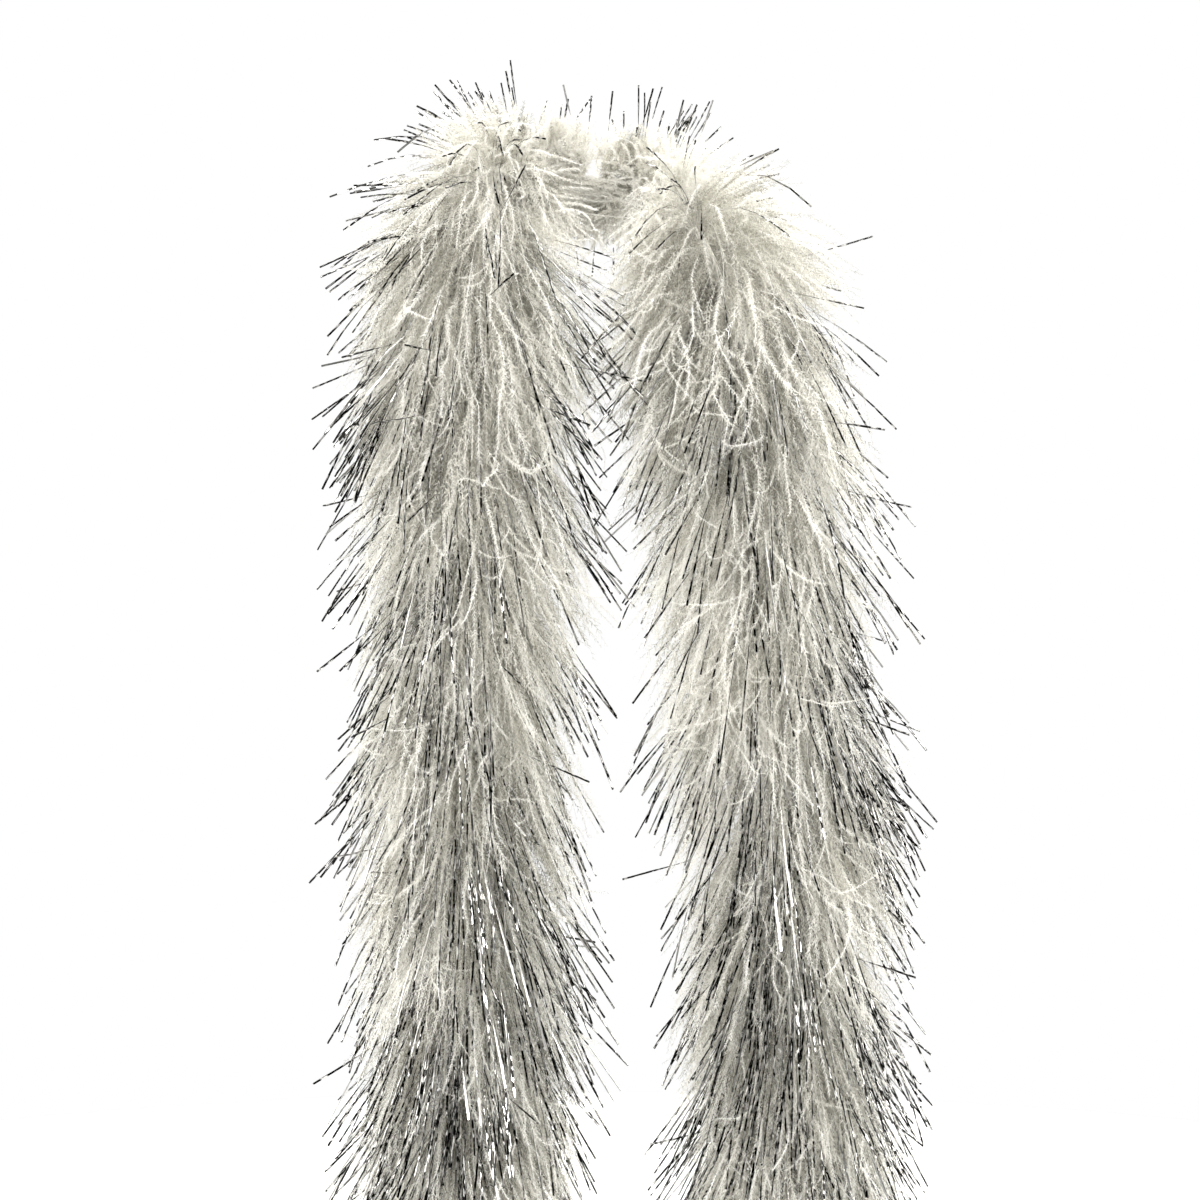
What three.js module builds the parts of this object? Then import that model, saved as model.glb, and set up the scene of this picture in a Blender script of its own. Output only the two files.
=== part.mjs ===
// A multi-ply ostrich feather boa with metallic filaments, draped round a neck: a twisted cotton core cord,
// four plies of feather strip wound round it, one ply of metallic filament, thread bindings where the strips
// are sewn end to end, and a whipped cord loop at each end. Millimetres, +Z up, +X to the viewer's right,
// +Y to the back. The origin is the middle of the boa, where it lies on the nape.
import * as THREE from "three";

// ---- driving dimensions -------------------------------------------------------------------------------
const HALF = 915; // half the core cord's length: 1.83 m in all
const CORD_R = 3.5; // core cord radius
const CORD_SIDES = 8;
const CORD_STEP = 13;
const HINGES = [290, 500, 705]; // where each tail flexes, as length along the cord from the nape
const HINGE_TURN = [45, 35, 45]; // the largest turn at each, in degrees
const PITCH = 270; // length of cord for one full turn of the plies
const PLIES = 4; // feather plies
const ROOT_R = 5.0; // where a strip's quill lies against the cord
const QUILL_W = 3.0; // width of a strip at its quill
const FLUE_W = 12.0; // width of a strip's flue at its tips
const TINSEL_W0 = 1.4; // the metallic ply is thin
const TINSEL_W1 = 2.0;
const TINSEL_PROUD = 9; // metallic filaments stand this far out of the flue
const BIND_IN = 4.4; // thread binding, inner and outer radius, and length
const BIND_OUT = 6.6;
const BIND_LEN = 6.0;
const LOOP_R = 1.3; // end loop's cord radius
const LOOP_W = 16; // end loop's width and length, to the middle of its cord
const LOOP_L = 30;
const LOOP_STEPS = 30;
const NECK = { x: 0, y: -70, r: 47.5, low: -78 }; // the wearer's neck, which the collar leaves clear

// The cord's line from the right-hand end, over the nape, to the left-hand end.
const LINE = [
  [144.0, -185.1, -792.1], [144.0, -185.1, -761.6], [144.0, -185.1, -731.1], [144.0, -185.1, -700.6],
  [143.9, -185.1, -670.1], [143.8, -185.1, -639.6], [143.6, -185.1, -609.1], [143.3, -185.0, -578.6],
  [143.0, -184.9, -548.1], [142.4, -184.7, -517.6], [141.5, -184.4, -487.2], [140.2, -184.1, -456.7],
  [138.5, -183.6, -426.2], [136.7, -183.0, -395.8], [134.7, -182.3, -365.4], [132.6, -181.5, -335.0],
  [130.4, -180.2, -304.6], [128.3, -178.5, -274.2], [126.3, -176.1, -243.8], [123.8, -172.6, -213.7],
  [120.4, -167.5, -183.8], [115.6, -160.0, -154.6], [109.1, -149.8, -126.6], [101.3, -136.6, -100.3],
  [92.7, -120.2, -76.1], [83.4, -100.2, -55.0], [74.4, -76.9, -37.6], [64.6, -51.5, -24.0],
  [50.9, -26.4, -13.5], [28.7, -7.4, -5.7], [0.0, 0.0, 0.0], [-28.9, -7.6, 4.2],
  [-51.2, -27.9, 5.4], [-63.6, -55.2, 0.9], [-70.0, -82.1, -11.7], [-74.7, -105.2, -30.9],
  [-79.3, -124.0, -54.5], [-83.7, -139.3, -80.5], [-87.1, -151.6, -108.2], [-89.3, -161.4, -136.9],
  [-90.1, -169.0, -166.5], [-90.0, -174.2, -196.5], [-89.8, -177.4, -226.8], [-89.4, -179.3, -257.3],
  [-89.1, -180.6, -287.7], [-88.8, -181.8, -318.2], [-88.4, -182.8, -348.7], [-88.1, -183.6, -379.2],
  [-88.0, -184.2, -409.7], [-87.9, -184.7, -440.2], [-87.9, -184.9, -470.7], [-88.0, -185.1, -501.2],
  [-88.1, -185.1, -531.7], [-88.2, -185.1, -562.2], [-88.4, -185.1, -592.7], [-88.7, -185.1, -623.2],
  [-89.0, -185.1, -653.7], [-89.3, -185.1, -684.2], [-89.7, -185.1, -714.7], [-90.2, -185.1, -745.2],
  [-90.6, -185.1, -775.7],
].map((p) => new THREE.Vector3(...p));

const MATERIALS = {
  cord: new THREE.MeshStandardMaterial({ color: 0xe9e6de, roughness: 0.9, metalness: 0 }),
  flue: new THREE.MeshStandardMaterial({ color: 0xe6e5e1, roughness: 0.85, metalness: 0 }),
  tinsel: new THREE.MeshStandardMaterial({ color: 0xb9bcc0, roughness: 0.25, metalness: 1 }),
  thread: new THREE.MeshStandardMaterial({ color: 0xf2f1ec, roughness: 0.7, metalness: 0 }),
};

// ---- the cord's line and its frames -------------------------------------------------------------------
// u runs along the cord from -HALF at the right-hand end to +HALF at the left-hand end.
const curve = new THREE.CatmullRomCurve3(LINE, false, "centripetal");
curve.arcLengthDivisions = 2400;
const STEP = 5;
const TABLE = [];
for (let i = 0; i <= (2 * HALF) / STEP; i++) {
  const f = i / ((2 * HALF) / STEP);
  TABLE.push({ p: curve.getPointAt(f), t: curve.getTangentAt(f), n: null });
}
const MID = HALF / STEP;
// Frames that don't twist, carried out both ways from the nape, where n points up.
function carry(from, to) {
  const axis = new THREE.Vector3().crossVectors(from.t, to.t);
  const n = from.n.clone();
  if (axis.length() > 1e-9)
    n.applyAxisAngle(axis.normalize(), from.t.angleTo(to.t));
  return n.addScaledVector(to.t, -n.dot(to.t)).normalize();
}
TABLE[MID].n = new THREE.Vector3(0, 0, 1)
  .addScaledVector(TABLE[MID].t, -TABLE[MID].t.z)
  .normalize();
for (let i = MID + 1; i < TABLE.length; i++) TABLE[i].n = carry(TABLE[i - 1], TABLE[i]);
for (let i = MID - 1; i >= 0; i--) TABLE[i].n = carry(TABLE[i + 1], TABLE[i]);

function frameAt(u) {
  const over = Math.sign(u) * Math.max(0, Math.abs(u) - HALF); // past an end the line runs on straight
  const x = (THREE.MathUtils.clamp(u, -HALF, HALF) + HALF) / STEP;
  const i = Math.min(Math.floor(x), TABLE.length - 2);
  const f = x - i;
  const a = TABLE[i];
  const b = TABLE[i + 1];
  const t = a.t.clone().lerp(b.t, f).normalize();
  const n = a.n.clone().lerp(b.n, f);
  n.addScaledVector(t, -n.dot(t)).normalize();
  const p = a.p.clone().lerp(b.p, f).addScaledVector(t, over);
  return { p, t, n, b: new THREE.Vector3().crossVectors(t, n) };
}

// ---- how far the flue reaches -------------------------------------------------------------------------
function piecewise(x, table) {
  if (x <= table[0][0]) return table[0][1];
  for (let i = 1; i < table.length; i++)
    if (x <= table[i][0]) {
      const f = (x - table[i - 1][0]) / (table[i][0] - table[i - 1][0]);
      return table[i - 1][1] + f * (table[i][1] - table[i - 1][1]);
    }
  return table[table.length - 1][1];
}
const FREE = [[0, 50], [60, 52], [110, 60], [150, 70], [200, 82], [250, 85], [860, 85], [915, 80], [985, 52]];
const PRESSED = [[0, 20], [60, 20], [110, 24], [150, 32], [290, 42], [450, 50], [650, 62]];

// The flue's reach from the cord at u in direction d, with filaments standing proud of it: less on the side
// that lies against the wearer.
function reach(u, d, proud) {
  const s = Math.abs(u);
  const f = frameAt(u);
  const neck = new THREE.Vector3(NECK.x - f.p.x, NECK.y - f.p.y, 0).normalize();
  const rest = new THREE.Vector3()
    .addScaledVector(neck, piecewise(s, [[0, 1], [110, 0.8], [220, 0.3], [290, 0]]))
    .add(new THREE.Vector3(0, piecewise(s, [[110, 0], [220, 0.7], [290, 1]]), 0))
    .add(new THREE.Vector3(0, 0, piecewise(s, [[0, 0], [90, -0.5], [200, -0.4], [290, 0]])))
    .normalize();
  const w = Math.pow(Math.max(0, d.dot(rest)), 1.5);
  let r = (piecewise(s, FREE) + proud) * (1 - w) + piecewise(s, PRESSED) * w;
  // where the neck is in the way, the flue stops short of it
  const ox = f.p.x - NECK.x;
  const oy = f.p.y - NECK.y;
  const A = d.x * d.x + d.y * d.y;
  const B = ox * d.x + oy * d.y;
  const C = ox * ox + oy * oy - NECK.r * NECK.r;
  const disc = B * B - A * C;
  if (B < 0 && A > 1e-6 && disc > 0) {
    const hit = (-B - Math.sqrt(disc)) / A;
    if (hit > 0 && f.p.z + d.z * hit > NECK.low) r = Math.min(r, hit - 1);
  }
  return r;
}

// Near a flex point the strips shorten to a cone, so that the tail can bend there.
function flexLimit(u) {
  const s = Math.abs(u);
  let r = Infinity;
  HINGES.forEach((h, i) => {
    const half = THREE.MathUtils.degToRad(HINGE_TURN[i] / 2);
    r = Math.min(r, (Math.abs(s - h) - 3) / Math.tan(half));
  });
  return r;
}

// ---- pieces -------------------------------------------------------------------------------------------
const boa = new THREE.Group();
boa.name = "feather_boa";

function add(name, geometry, material) {
  const mesh = new THREE.Mesh(geometry, MATERIALS[material]);
  mesh.name = name;
  boa.add(mesh);
  return mesh;
}

// A closed solid from rings of points, with both ends capped by a fan.
function loft(rings) {
  const k = rings[0].length;
  const pos = [];
  rings.forEach((ring) => ring.forEach((p) => pos.push(p.x, p.y, p.z)));
  const idx = [];
  for (let i = 0; i + 1 < rings.length; i++)
    for (let j = 0; j < k; j++) {
      const a = i * k + j;
      const b = i * k + ((j + 1) % k);
      // opposite sides are split along the same diagonal, so that they stay parallel where the solid twists
      if (j < k / 2) idx.push(a, b, a + k, b, b + k, a + k);
      else idx.push(a, b, b + k, a, b + k, a + k);
    }
  for (let j = 1; j + 1 < k; j++) {
    idx.push(0, j + 1, j);
    const e = (rings.length - 1) * k;
    idx.push(e, e + j, e + j + 1);
  }
  return outward(pos, idx);
}

// The geometry of closed triangles, turned so that they face out.
function outward(pos, idx) {
  let volume = 0;
  const v = (i) => new THREE.Vector3(pos[3 * i], pos[3 * i + 1], pos[3 * i + 2]);
  for (let i = 0; i < idx.length; i += 3)
    volume += v(idx[i]).dot(v(idx[i + 1]).cross(v(idx[i + 2])));
  if (volume < 0)
    for (let i = 0; i < idx.length; i += 3) [idx[i + 1], idx[i + 2]] = [idx[i + 2], idx[i + 1]];
  const g = new THREE.BufferGeometry();
  g.setAttribute("position", new THREE.Float32BufferAttribute(pos, 3));
  g.setIndex(idx);
  g.computeVertexNormals();
  return g;
}

// The quills' distance from the line: close to the cord, then over the end's whipping and clear of the loop.
const QUILL_R = [[HALF - 28, ROOT_R], [HALF - 16, 7.6], [HALF - 1, 7.6], [HALF + 12, 12]];

// A closed ring-shaped solid from rings of points: the last joins the first.
function ringLoft(rings) {
  const m = rings.length;
  const k = rings[0].length;
  const pos = [];
  rings.forEach((ring) => ring.forEach((p) => pos.push(p.x, p.y, p.z)));
  const idx = [];
  for (let i = 0; i < m; i++)
    for (let j = 0; j < k; j++) {
      const a = i * k + j;
      const b = i * k + ((j + 1) % k);
      const c = ((i + 1) % m) * k + j;
      const d = ((i + 1) % m) * k + ((j + 1) % k);
      idx.push(a, b, c, b, d, c);
    }
  return outward(pos, idx);
}

// One length of a ply between s0 and s1 on a side: its quill lies against the cord and its flue fans out.
function strip(side, s0, s1, angle0, w0, w1, proud) {
  const stations = [];
  const near = 22;
  const n = Math.max(2, Math.round((s1 - s0 - 2 * near) / 12));
  for (const x of [0, 9, 16, near]) stations.push(s0 + x);
  for (let i = 1; i < n; i++) stations.push(s0 + near + ((s1 - s0 - 2 * near) * i) / n);
  for (const x of [near, 16, 9, 0]) stations.push(s1 - x);
  return loft(
    stations.map((s) => {
      const u = side * s;
      const f = frameAt(u);
      const a = angle0 + (2 * Math.PI * u) / PITCH;
      const d = f.n.clone().multiplyScalar(Math.cos(a)).addScaledVector(f.b, Math.sin(a));
      const w = new THREE.Vector3().crossVectors(f.t, d);
      const rIn = piecewise(s, QUILL_R);
      const rOut = Math.max(rIn + 6, Math.min(reach(u, d, proud), flexLimit(u)));
      const wOut = w0 + (w1 - w0) * Math.min(1, (rOut - rIn) / 60);
      const at = (r, x) => f.p.clone().addScaledVector(d, r).addScaledVector(w, x);
      return [at(rIn, -w0 / 2), at(rOut, -wOut / 2), at(rOut, wOut / 2), at(rIn, w0 / 2)];
    }),
  );
}

// A straight or bent length of cord between two places on the line.
function cord(u0, u1, radius, sides) {
  const n = Math.max(2, Math.round(Math.abs(u1 - u0) / CORD_STEP));
  const points = [];
  for (let i = 0; i <= n; i++) points.push(frameAt(u0 + ((u1 - u0) * i) / n).p);
  const path = new THREE.CatmullRomCurve3(points, false, "centripetal");
  const section = new THREE.Shape();
  for (let i = 0; i < sides; i++) {
    const a = (2 * Math.PI * i) / sides;
    if (i === 0) section.moveTo(radius * Math.cos(a), radius * Math.sin(a));
    else section.lineTo(radius * Math.cos(a), radius * Math.sin(a));
  }
  section.closePath();
  return new THREE.ExtrudeGeometry(section, { steps: n, extrudePath: path, curveSegments: 1 });
}

// A ring of wound thread on the cord, its middle at u.
function binding(name, u, length, inner, outer) {
  const h = length / 2;
  const profile = [
    [inner, -h], [outer - 0.8, -h], [outer, -h + 1], [outer, h - 1], [outer - 0.8, h], [inner, h], [inner, -h],
  ].map(([r, z]) => new THREE.Vector2(r, z));
  const mesh = add(name, new THREE.LatheGeometry(profile, 16), "thread");
  const f = frameAt(u);
  mesh.position.copy(f.p);
  mesh.quaternion.setFromUnitVectors(new THREE.Vector3(0, 1, 0), f.t);
  return mesh;
}

const SIDES = [["left", 1], ["right", -1]];
const GAP = 2; // cord ends stand this far back from a flex point
const SPANS = [
  ["collar", 5, HINGES[0] - 11],
  ["upper", HINGES[0] + 11, HINGES[1] - 11],
  ["middle", HINGES[1] + 11, HINGES[2] - 11],
  ["lower", HINGES[2] + 11, HALF + 66],
];

// core cord: one length over the neck and shoulders, then three down each tail
add("core_cord_collar", cord(-(HINGES[0] - GAP), HINGES[0] - GAP, CORD_R, CORD_SIDES), "cord");
for (const [side, sign] of SIDES) {
  add(`${side}_core_cord_upper`, cord(sign * (HINGES[0] + GAP), sign * (HINGES[1] - GAP), CORD_R, CORD_SIDES), "cord");
  add(`${side}_core_cord_middle`, cord(sign * (HINGES[1] + GAP), sign * (HINGES[2] - GAP), CORD_R, CORD_SIDES), "cord");
  add(`${side}_core_cord_lower`, cord(sign * (HINGES[2] + GAP), sign * HALF, CORD_R, CORD_SIDES), "cord");
}

// feather strips and metallic filament, in the same five-way twist round the cord
for (const [side, sign] of SIDES)
  for (const [span, s0, s1] of SPANS) {
    for (let i = 0; i < PLIES; i++)
      add(
        `${side}_${span}_feather_ply_${i + 1}`,
        strip(sign, s0, s1, (2 * Math.PI * i) / (PLIES + 1), QUILL_W, FLUE_W, 0),
        "flue",
      );
    add(
      `${side}_${span}_metallic_filament_ply`,
      strip(sign, s0, s1 - (span === "lower" ? 6 : 0), (2 * Math.PI * PLIES) / (PLIES + 1), TINSEL_W0, TINSEL_W1, TINSEL_PROUD),
      "tinsel",
    );
  }

// thread bindings: at the nape, and just above each flex point, where the strips are sewn end to end
binding("nape_thread_binding", 0, 7, BIND_IN, BIND_OUT);
for (const [side, sign] of SIDES)
  HINGES.forEach((h, i) => {
    const name = ["shoulder", "chest", "waist"][i];
    binding(`${side}_${name}_thread_binding`, sign * (h - 3.2 - BIND_LEN / 2), BIND_LEN, BIND_IN, BIND_OUT);
  });

// whipped ends, each with a cord loop
for (const [side, sign] of SIDES) {
  binding(`${side}_end_whipping`, sign * (HALF - 5.5), 10, BIND_IN, 6.6);
  const f = frameAt(sign * HALF);
  const along = f.t.clone().multiplyScalar(sign);
  const across = new THREE.Vector3(1, 0, 0).addScaledVector(along, -along.x).normalize();
  const out = new THREE.Vector3().crossVectors(along, across);
  const at = (k) => {
    const a = (2 * Math.PI * k) / LOOP_STEPS;
    const y = (1 - Math.cos(a)) / 2; // 0 at the cord's end, 1 at the loop's far end
    return f.p.clone()
      .addScaledVector(along, 0.3 + LOOP_R + 0.1 + y * LOOP_L)
      .addScaledVector(across, (LOOP_W / 2) * Math.sin(a));
  };
  const rings = [];
  for (let k = 0; k < LOOP_STEPS; k++) {
    const t = at(k + 0.5).sub(at(k - 0.5)).normalize();
    const inward = new THREE.Vector3().crossVectors(t, out).normalize();
    const ring = [];
    for (let j = 0; j < 8; j++) {
      const a = (2 * Math.PI * j) / 8;
      ring.push(
        at(k).addScaledVector(inward, LOOP_R * Math.cos(a)).addScaledVector(out, LOOP_R * Math.sin(a)),
      );
    }
    rings.push(ring);
  }
  add(`${side}_end_loop`, ringLoft(rings), "cord");
}

export default boa;
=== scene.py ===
import math

import bpy
import numpy as np
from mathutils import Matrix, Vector


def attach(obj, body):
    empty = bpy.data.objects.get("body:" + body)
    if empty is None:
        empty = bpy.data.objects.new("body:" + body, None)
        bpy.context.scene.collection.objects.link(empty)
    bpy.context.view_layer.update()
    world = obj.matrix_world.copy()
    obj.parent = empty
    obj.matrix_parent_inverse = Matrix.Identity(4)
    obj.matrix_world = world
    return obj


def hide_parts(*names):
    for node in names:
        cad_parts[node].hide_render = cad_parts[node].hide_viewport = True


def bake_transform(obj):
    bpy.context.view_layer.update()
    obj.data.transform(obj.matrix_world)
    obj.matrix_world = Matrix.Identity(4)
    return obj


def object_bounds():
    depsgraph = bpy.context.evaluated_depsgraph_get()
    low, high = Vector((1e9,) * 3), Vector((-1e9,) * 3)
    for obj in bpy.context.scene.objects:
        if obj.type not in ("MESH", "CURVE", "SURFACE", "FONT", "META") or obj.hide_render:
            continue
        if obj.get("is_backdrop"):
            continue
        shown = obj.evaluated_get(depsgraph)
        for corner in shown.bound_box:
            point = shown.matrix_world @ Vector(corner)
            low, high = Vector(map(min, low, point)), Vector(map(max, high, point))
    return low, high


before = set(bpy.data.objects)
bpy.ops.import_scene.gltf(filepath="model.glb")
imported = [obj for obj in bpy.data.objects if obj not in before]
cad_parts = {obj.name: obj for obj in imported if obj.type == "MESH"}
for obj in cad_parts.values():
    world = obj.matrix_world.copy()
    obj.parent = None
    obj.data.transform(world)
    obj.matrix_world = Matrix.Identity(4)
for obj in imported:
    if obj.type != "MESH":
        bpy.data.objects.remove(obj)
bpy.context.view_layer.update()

# ---------------------------------------------------------------------------------------------
# the design's dimensions, in metres
# ---------------------------------------------------------------------------------------------
HALF = 0.915
CORD_R = 0.0035
HINGES = [0.290, 0.500, 0.705]
GAP = 0.002
PITCH = 0.270
PLIES = 4
ROOT_R = 0.0050
NECK = (0.0, -0.070)
NECK_R = 0.0475
NECK_LOW = -0.078
BIND_LEN = 0.006
SIDES = (("left", 1), ("right", -1))
SPANS = (
    ("collar", 0.005, HINGES[0]),
    ("upper", HINGES[0], HINGES[1]),
    ("middle", HINGES[1], HINGES[2]),
    ("lower", HINGES[2], HALF - 0.004),
)

LINE = np.array([
    [144.0, -185.1, -792.1], [144.0, -185.1, -761.6], [144.0, -185.1, -731.1], [144.0, -185.1, -700.6],
    [143.9, -185.1, -670.1], [143.8, -185.1, -639.6], [143.6, -185.1, -609.1], [143.3, -185.0, -578.6],
    [143.0, -184.9, -548.1], [142.4, -184.7, -517.6], [141.5, -184.4, -487.2], [140.2, -184.1, -456.7],
    [138.5, -183.6, -426.2], [136.7, -183.0, -395.8], [134.7, -182.3, -365.4], [132.6, -181.5, -335.0],
    [130.4, -180.2, -304.6], [128.3, -178.5, -274.2], [126.3, -176.1, -243.8], [123.8, -172.6, -213.7],
    [120.4, -167.5, -183.8], [115.6, -160.0, -154.6], [109.1, -149.8, -126.6], [101.3, -136.6, -100.3],
    [92.7, -120.2, -76.1], [83.4, -100.2, -55.0], [74.4, -76.9, -37.6], [64.6, -51.5, -24.0],
    [50.9, -26.4, -13.5], [28.7, -7.4, -5.7], [0.0, 0.0, 0.0], [-28.9, -7.6, 4.2],
    [-51.2, -27.9, 5.4], [-63.6, -55.2, 0.9], [-70.0, -82.1, -11.7], [-74.7, -105.2, -30.9],
    [-79.3, -124.0, -54.5], [-83.7, -139.3, -80.5], [-87.1, -151.6, -108.2], [-89.3, -161.4, -136.9],
    [-90.1, -169.0, -166.5], [-90.0, -174.2, -196.5], [-89.8, -177.4, -226.8], [-89.4, -179.3, -257.3],
    [-89.1, -180.6, -287.7], [-88.8, -181.8, -318.2], [-88.4, -182.8, -348.7], [-88.1, -183.6, -379.2],
    [-88.0, -184.2, -409.7], [-87.9, -184.7, -440.2], [-87.9, -184.9, -470.7], [-88.0, -185.1, -501.2],
    [-88.1, -185.1, -531.7], [-88.2, -185.1, -562.2], [-88.4, -185.1, -592.7], [-88.7, -185.1, -623.2],
    [-89.0, -185.1, -653.7], [-89.3, -185.1, -684.2], [-89.7, -185.1, -714.7], [-90.2, -185.1, -745.2],
    [-90.6, -185.1, -775.7],
]) * 0.001


def unit(v):
    return v / np.maximum(np.linalg.norm(v, axis=-1, keepdims=True), 1e-12)


# ---------------------------------------------------------------------------------------------
# the core cord's line: a centripetal Catmull-Rom curve, with frames that don't twist
# ---------------------------------------------------------------------------------------------
def dense_line(points, per=48):
    ext = np.vstack([2 * points[0] - points[1], points, 2 * points[-1] - points[-2]])
    out = []
    x = np.linspace(0, 1, per, endpoint=False)[:, None]
    for i in range(len(points) - 1):
        p0, p1, p2, p3 = ext[i : i + 4]
        d0, d1, d2 = (max(np.linalg.norm(b - a) ** 0.5, 1e-6) for a, b in ((p0, p1), (p1, p2), (p2, p3)))
        t1 = ((p1 - p0) / d0 - (p2 - p0) / (d0 + d1) + (p2 - p1) / d1) * d1
        t2 = ((p2 - p1) / d1 - (p3 - p1) / (d1 + d2) + (p3 - p2) / d2) * d1
        c2 = -3 * p1 + 3 * p2 - 2 * t1 - t2
        c3 = 2 * p1 - 2 * p2 + t1 + t2
        out.append(p1 + t1 * x + c2 * x**2 + c3 * x**3)
    out.append(points[-1:])
    return np.vstack(out)


STEP = 0.0025
_dense = dense_line(LINE)
_arc = np.concatenate([[0], np.cumsum(np.linalg.norm(np.diff(_dense, axis=0), axis=1))])
LENGTH = float(_arc[-1])
TABLE_N = int(round(2 * HALF / STEP)) + 1
_s = np.linspace(0, LENGTH, TABLE_N)
TP = np.stack([np.interp(_s, _arc, _dense[:, k]) for k in range(3)], 1)
TT = unit(np.gradient(TP, axis=0))
TN = np.zeros_like(TP)
MID = (TABLE_N - 1) // 2
TN[MID] = unit(np.array([0, 0, 1.0]) - TT[MID] * TT[MID][2])
for _i in list(range(MID + 1, TABLE_N)) + list(range(MID - 1, -1, -1)):
    _j = _i - 1 if _i > MID else _i + 1
    _n = TN[_j] - TT[_i] * (TN[_j] @ TT[_i])
    TN[_i] = unit(_n)
TU = np.linspace(-HALF, HALF, TABLE_N)


def frame_at(u):
    """Point, tangent, normal and binormal of the core cord's line at u, past an end straight on."""
    u = np.atleast_1d(np.asarray(u, float))
    c = np.clip(u, -HALF, HALF)
    x = (c + HALF) / STEP
    i = np.minimum(x.astype(int), TABLE_N - 2)
    f = (x - i)[:, None]
    t = unit(TT[i] * (1 - f) + TT[i + 1] * f)
    n = TN[i] * (1 - f) + TN[i + 1] * f
    n = unit(n - t * (n * t).sum(1, keepdims=True))
    p = TP[i] * (1 - f) + TP[i + 1] * f + t * (u - c)[:, None]
    return p, t, n, np.cross(t, n)


# ---------------------------------------------------------------------------------------------
# how far the flue reaches from the cord: less on the side that lies against the wearer
# ---------------------------------------------------------------------------------------------
FREE = np.array([[0, 50], [60, 53], [100, 60], [140, 84], [180, 97], [240, 95], [330, 88], [860, 88], [915, 82], [985, 54]]) * 0.001
PRESSED = np.array([[0, 20], [60, 20], [110, 24], [150, 32], [290, 42], [450, 50], [650, 62]]) * 0.001


def reach(u, p, d, proud):
    s = np.abs(u)
    neck = np.zeros_like(p)
    neck[:, 0], neck[:, 1] = NECK[0] - p[:, 0], NECK[1] - p[:, 1]
    rest = unit(neck) * np.interp(s, [0, 0.110, 0.220, 0.290], [1, 0.8, 0.3, 0])[:, None]
    rest[:, 1] += np.interp(s, [0.110, 0.220, 0.290], [0, 0.7, 1])
    rest[:, 2] += np.interp(s, [0, 0.090, 0.200, 0.290], [0, -0.5, -0.4, 0])
    w = np.maximum(0, (d * unit(rest)).sum(1)) ** 1.5
    between = np.maximum(0, -d[:, 0] * np.sign(p[:, 0])) ** 2 * np.interp(s, [0.16, 0.24, 0.42, 0.62], [0, 0.012, 0.012, 0])
    free = np.interp(s, FREE[:, 0], FREE[:, 1]) + between + proud
    return free * (1 - w) + np.interp(s, PRESSED[:, 0], PRESSED[:, 1]) * w


OUTER = np.array([[-0.1995, -0.2925, -0.8880], [0.2450, 0.0632, 0.0960]])  # no strand passes these


def settle(pts, u_root, proud, cut):
    """Lays strands against the wearer's side, ends each where it passes cut times the flue's reach, and keeps
    them out of the wearer's neck. pts is strands x points x 3."""
    n, m, _ = pts.shape
    flat = pts.reshape(-1, 3)
    u_flat = np.repeat(u_root, m)
    out = np.empty_like(flat)
    past_reach = np.empty(len(flat), bool)
    cut_flat = np.repeat(cut, m)
    proud = np.broadcast_to(proud, flat.shape[0])
    coarse = TP[::2]
    coarse_u = TU[::2]
    for a in range(0, len(flat), 20000):
        q = flat[a : a + 20000]
        d2 = (q**2).sum(1)[:, None] - 2 * q @ coarse.T + (coarse**2).sum(1)[None]
        ur = u_flat[a : a + 20000]
        d2[np.abs(coarse_u[None] - ur[:, None]) > 0.165] = 9.0  # only its own stretch of the cord
        u = coarse_u[d2.argmin(1)]
        p, t, _, _ = frame_at(u)
        along = ((q - p) * t).sum(1)
        u = u + along
        p, t, _, _ = frame_at(u)
        w = q - p
        along = (w * t).sum(1, keepdims=True)
        w = w - t * along
        r = np.linalg.norm(w, axis=1)
        d = w / np.maximum(r, 1e-9)[:, None]
        free = np.interp(np.abs(u), FREE[:, 0], FREE[:, 1])
        lim = reach(u, p, d, 0.0)
        rn = np.minimum(r, 0.005) + np.maximum(0, r - 0.005) * lim / free
        q2 = p + d * rn[:, None] + t * along
        past = np.maximum(0, np.abs(u) - HALF - 0.010)
        past_reach[a : a + 20000] = (rn > lim * cut_flat[a : a + 20000] + proud[a : a + 20000]) | (past > 0.062 * cut_flat[a : a + 20000])
        out[a : a + 20000] = q2
    # end each strand where it first passes the reach
    over = past_reach.reshape(n, m)
    first = np.where(over.any(1), np.maximum(over.argmax(1), 3), m - 1)
    outside = ((out < OUTER[0]) | (out > OUTER[1])).any(1).reshape(n, m)
    first = np.minimum(first, np.where(outside.any(1), outside.argmax(1) - 1, m - 1))
    x = np.linspace(0, 1, m)[None] * first[:, None]
    i = np.minimum(x.astype(int), m - 2)
    g = (x - i)[..., None]
    rows = np.arange(n)[:, None]
    out = out.reshape(n, m, 3)
    out = (out[rows, i] * (1 - g) + out[rows, i + 1] * g).reshape(-1, 3)
    # the neck
    x, y = out[:, 0] - NECK[0], out[:, 1] - NECK[1]
    r = np.hypot(x, y)
    soft = np.clip((out[:, 2] - (NECK_LOW - 0.030)) / 0.030, 0, 1)
    want = np.where(r < NECK_R + 0.014, NECK_R + 0.0008 + 0.0132 * np.clip(r / (NECK_R + 0.014), 0, 1) ** 4, r)
    k = 1 + (want / np.maximum(r, 1e-6) - 1) * soft
    out[:, 0], out[:, 1] = NECK[0] + x * k, NECK[1] + y * k
    return out.reshape(n, m, 3)


# ---------------------------------------------------------------------------------------------
# strands
# ---------------------------------------------------------------------------------------------
DOWN = np.array([0, 0, -1.0])


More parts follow.
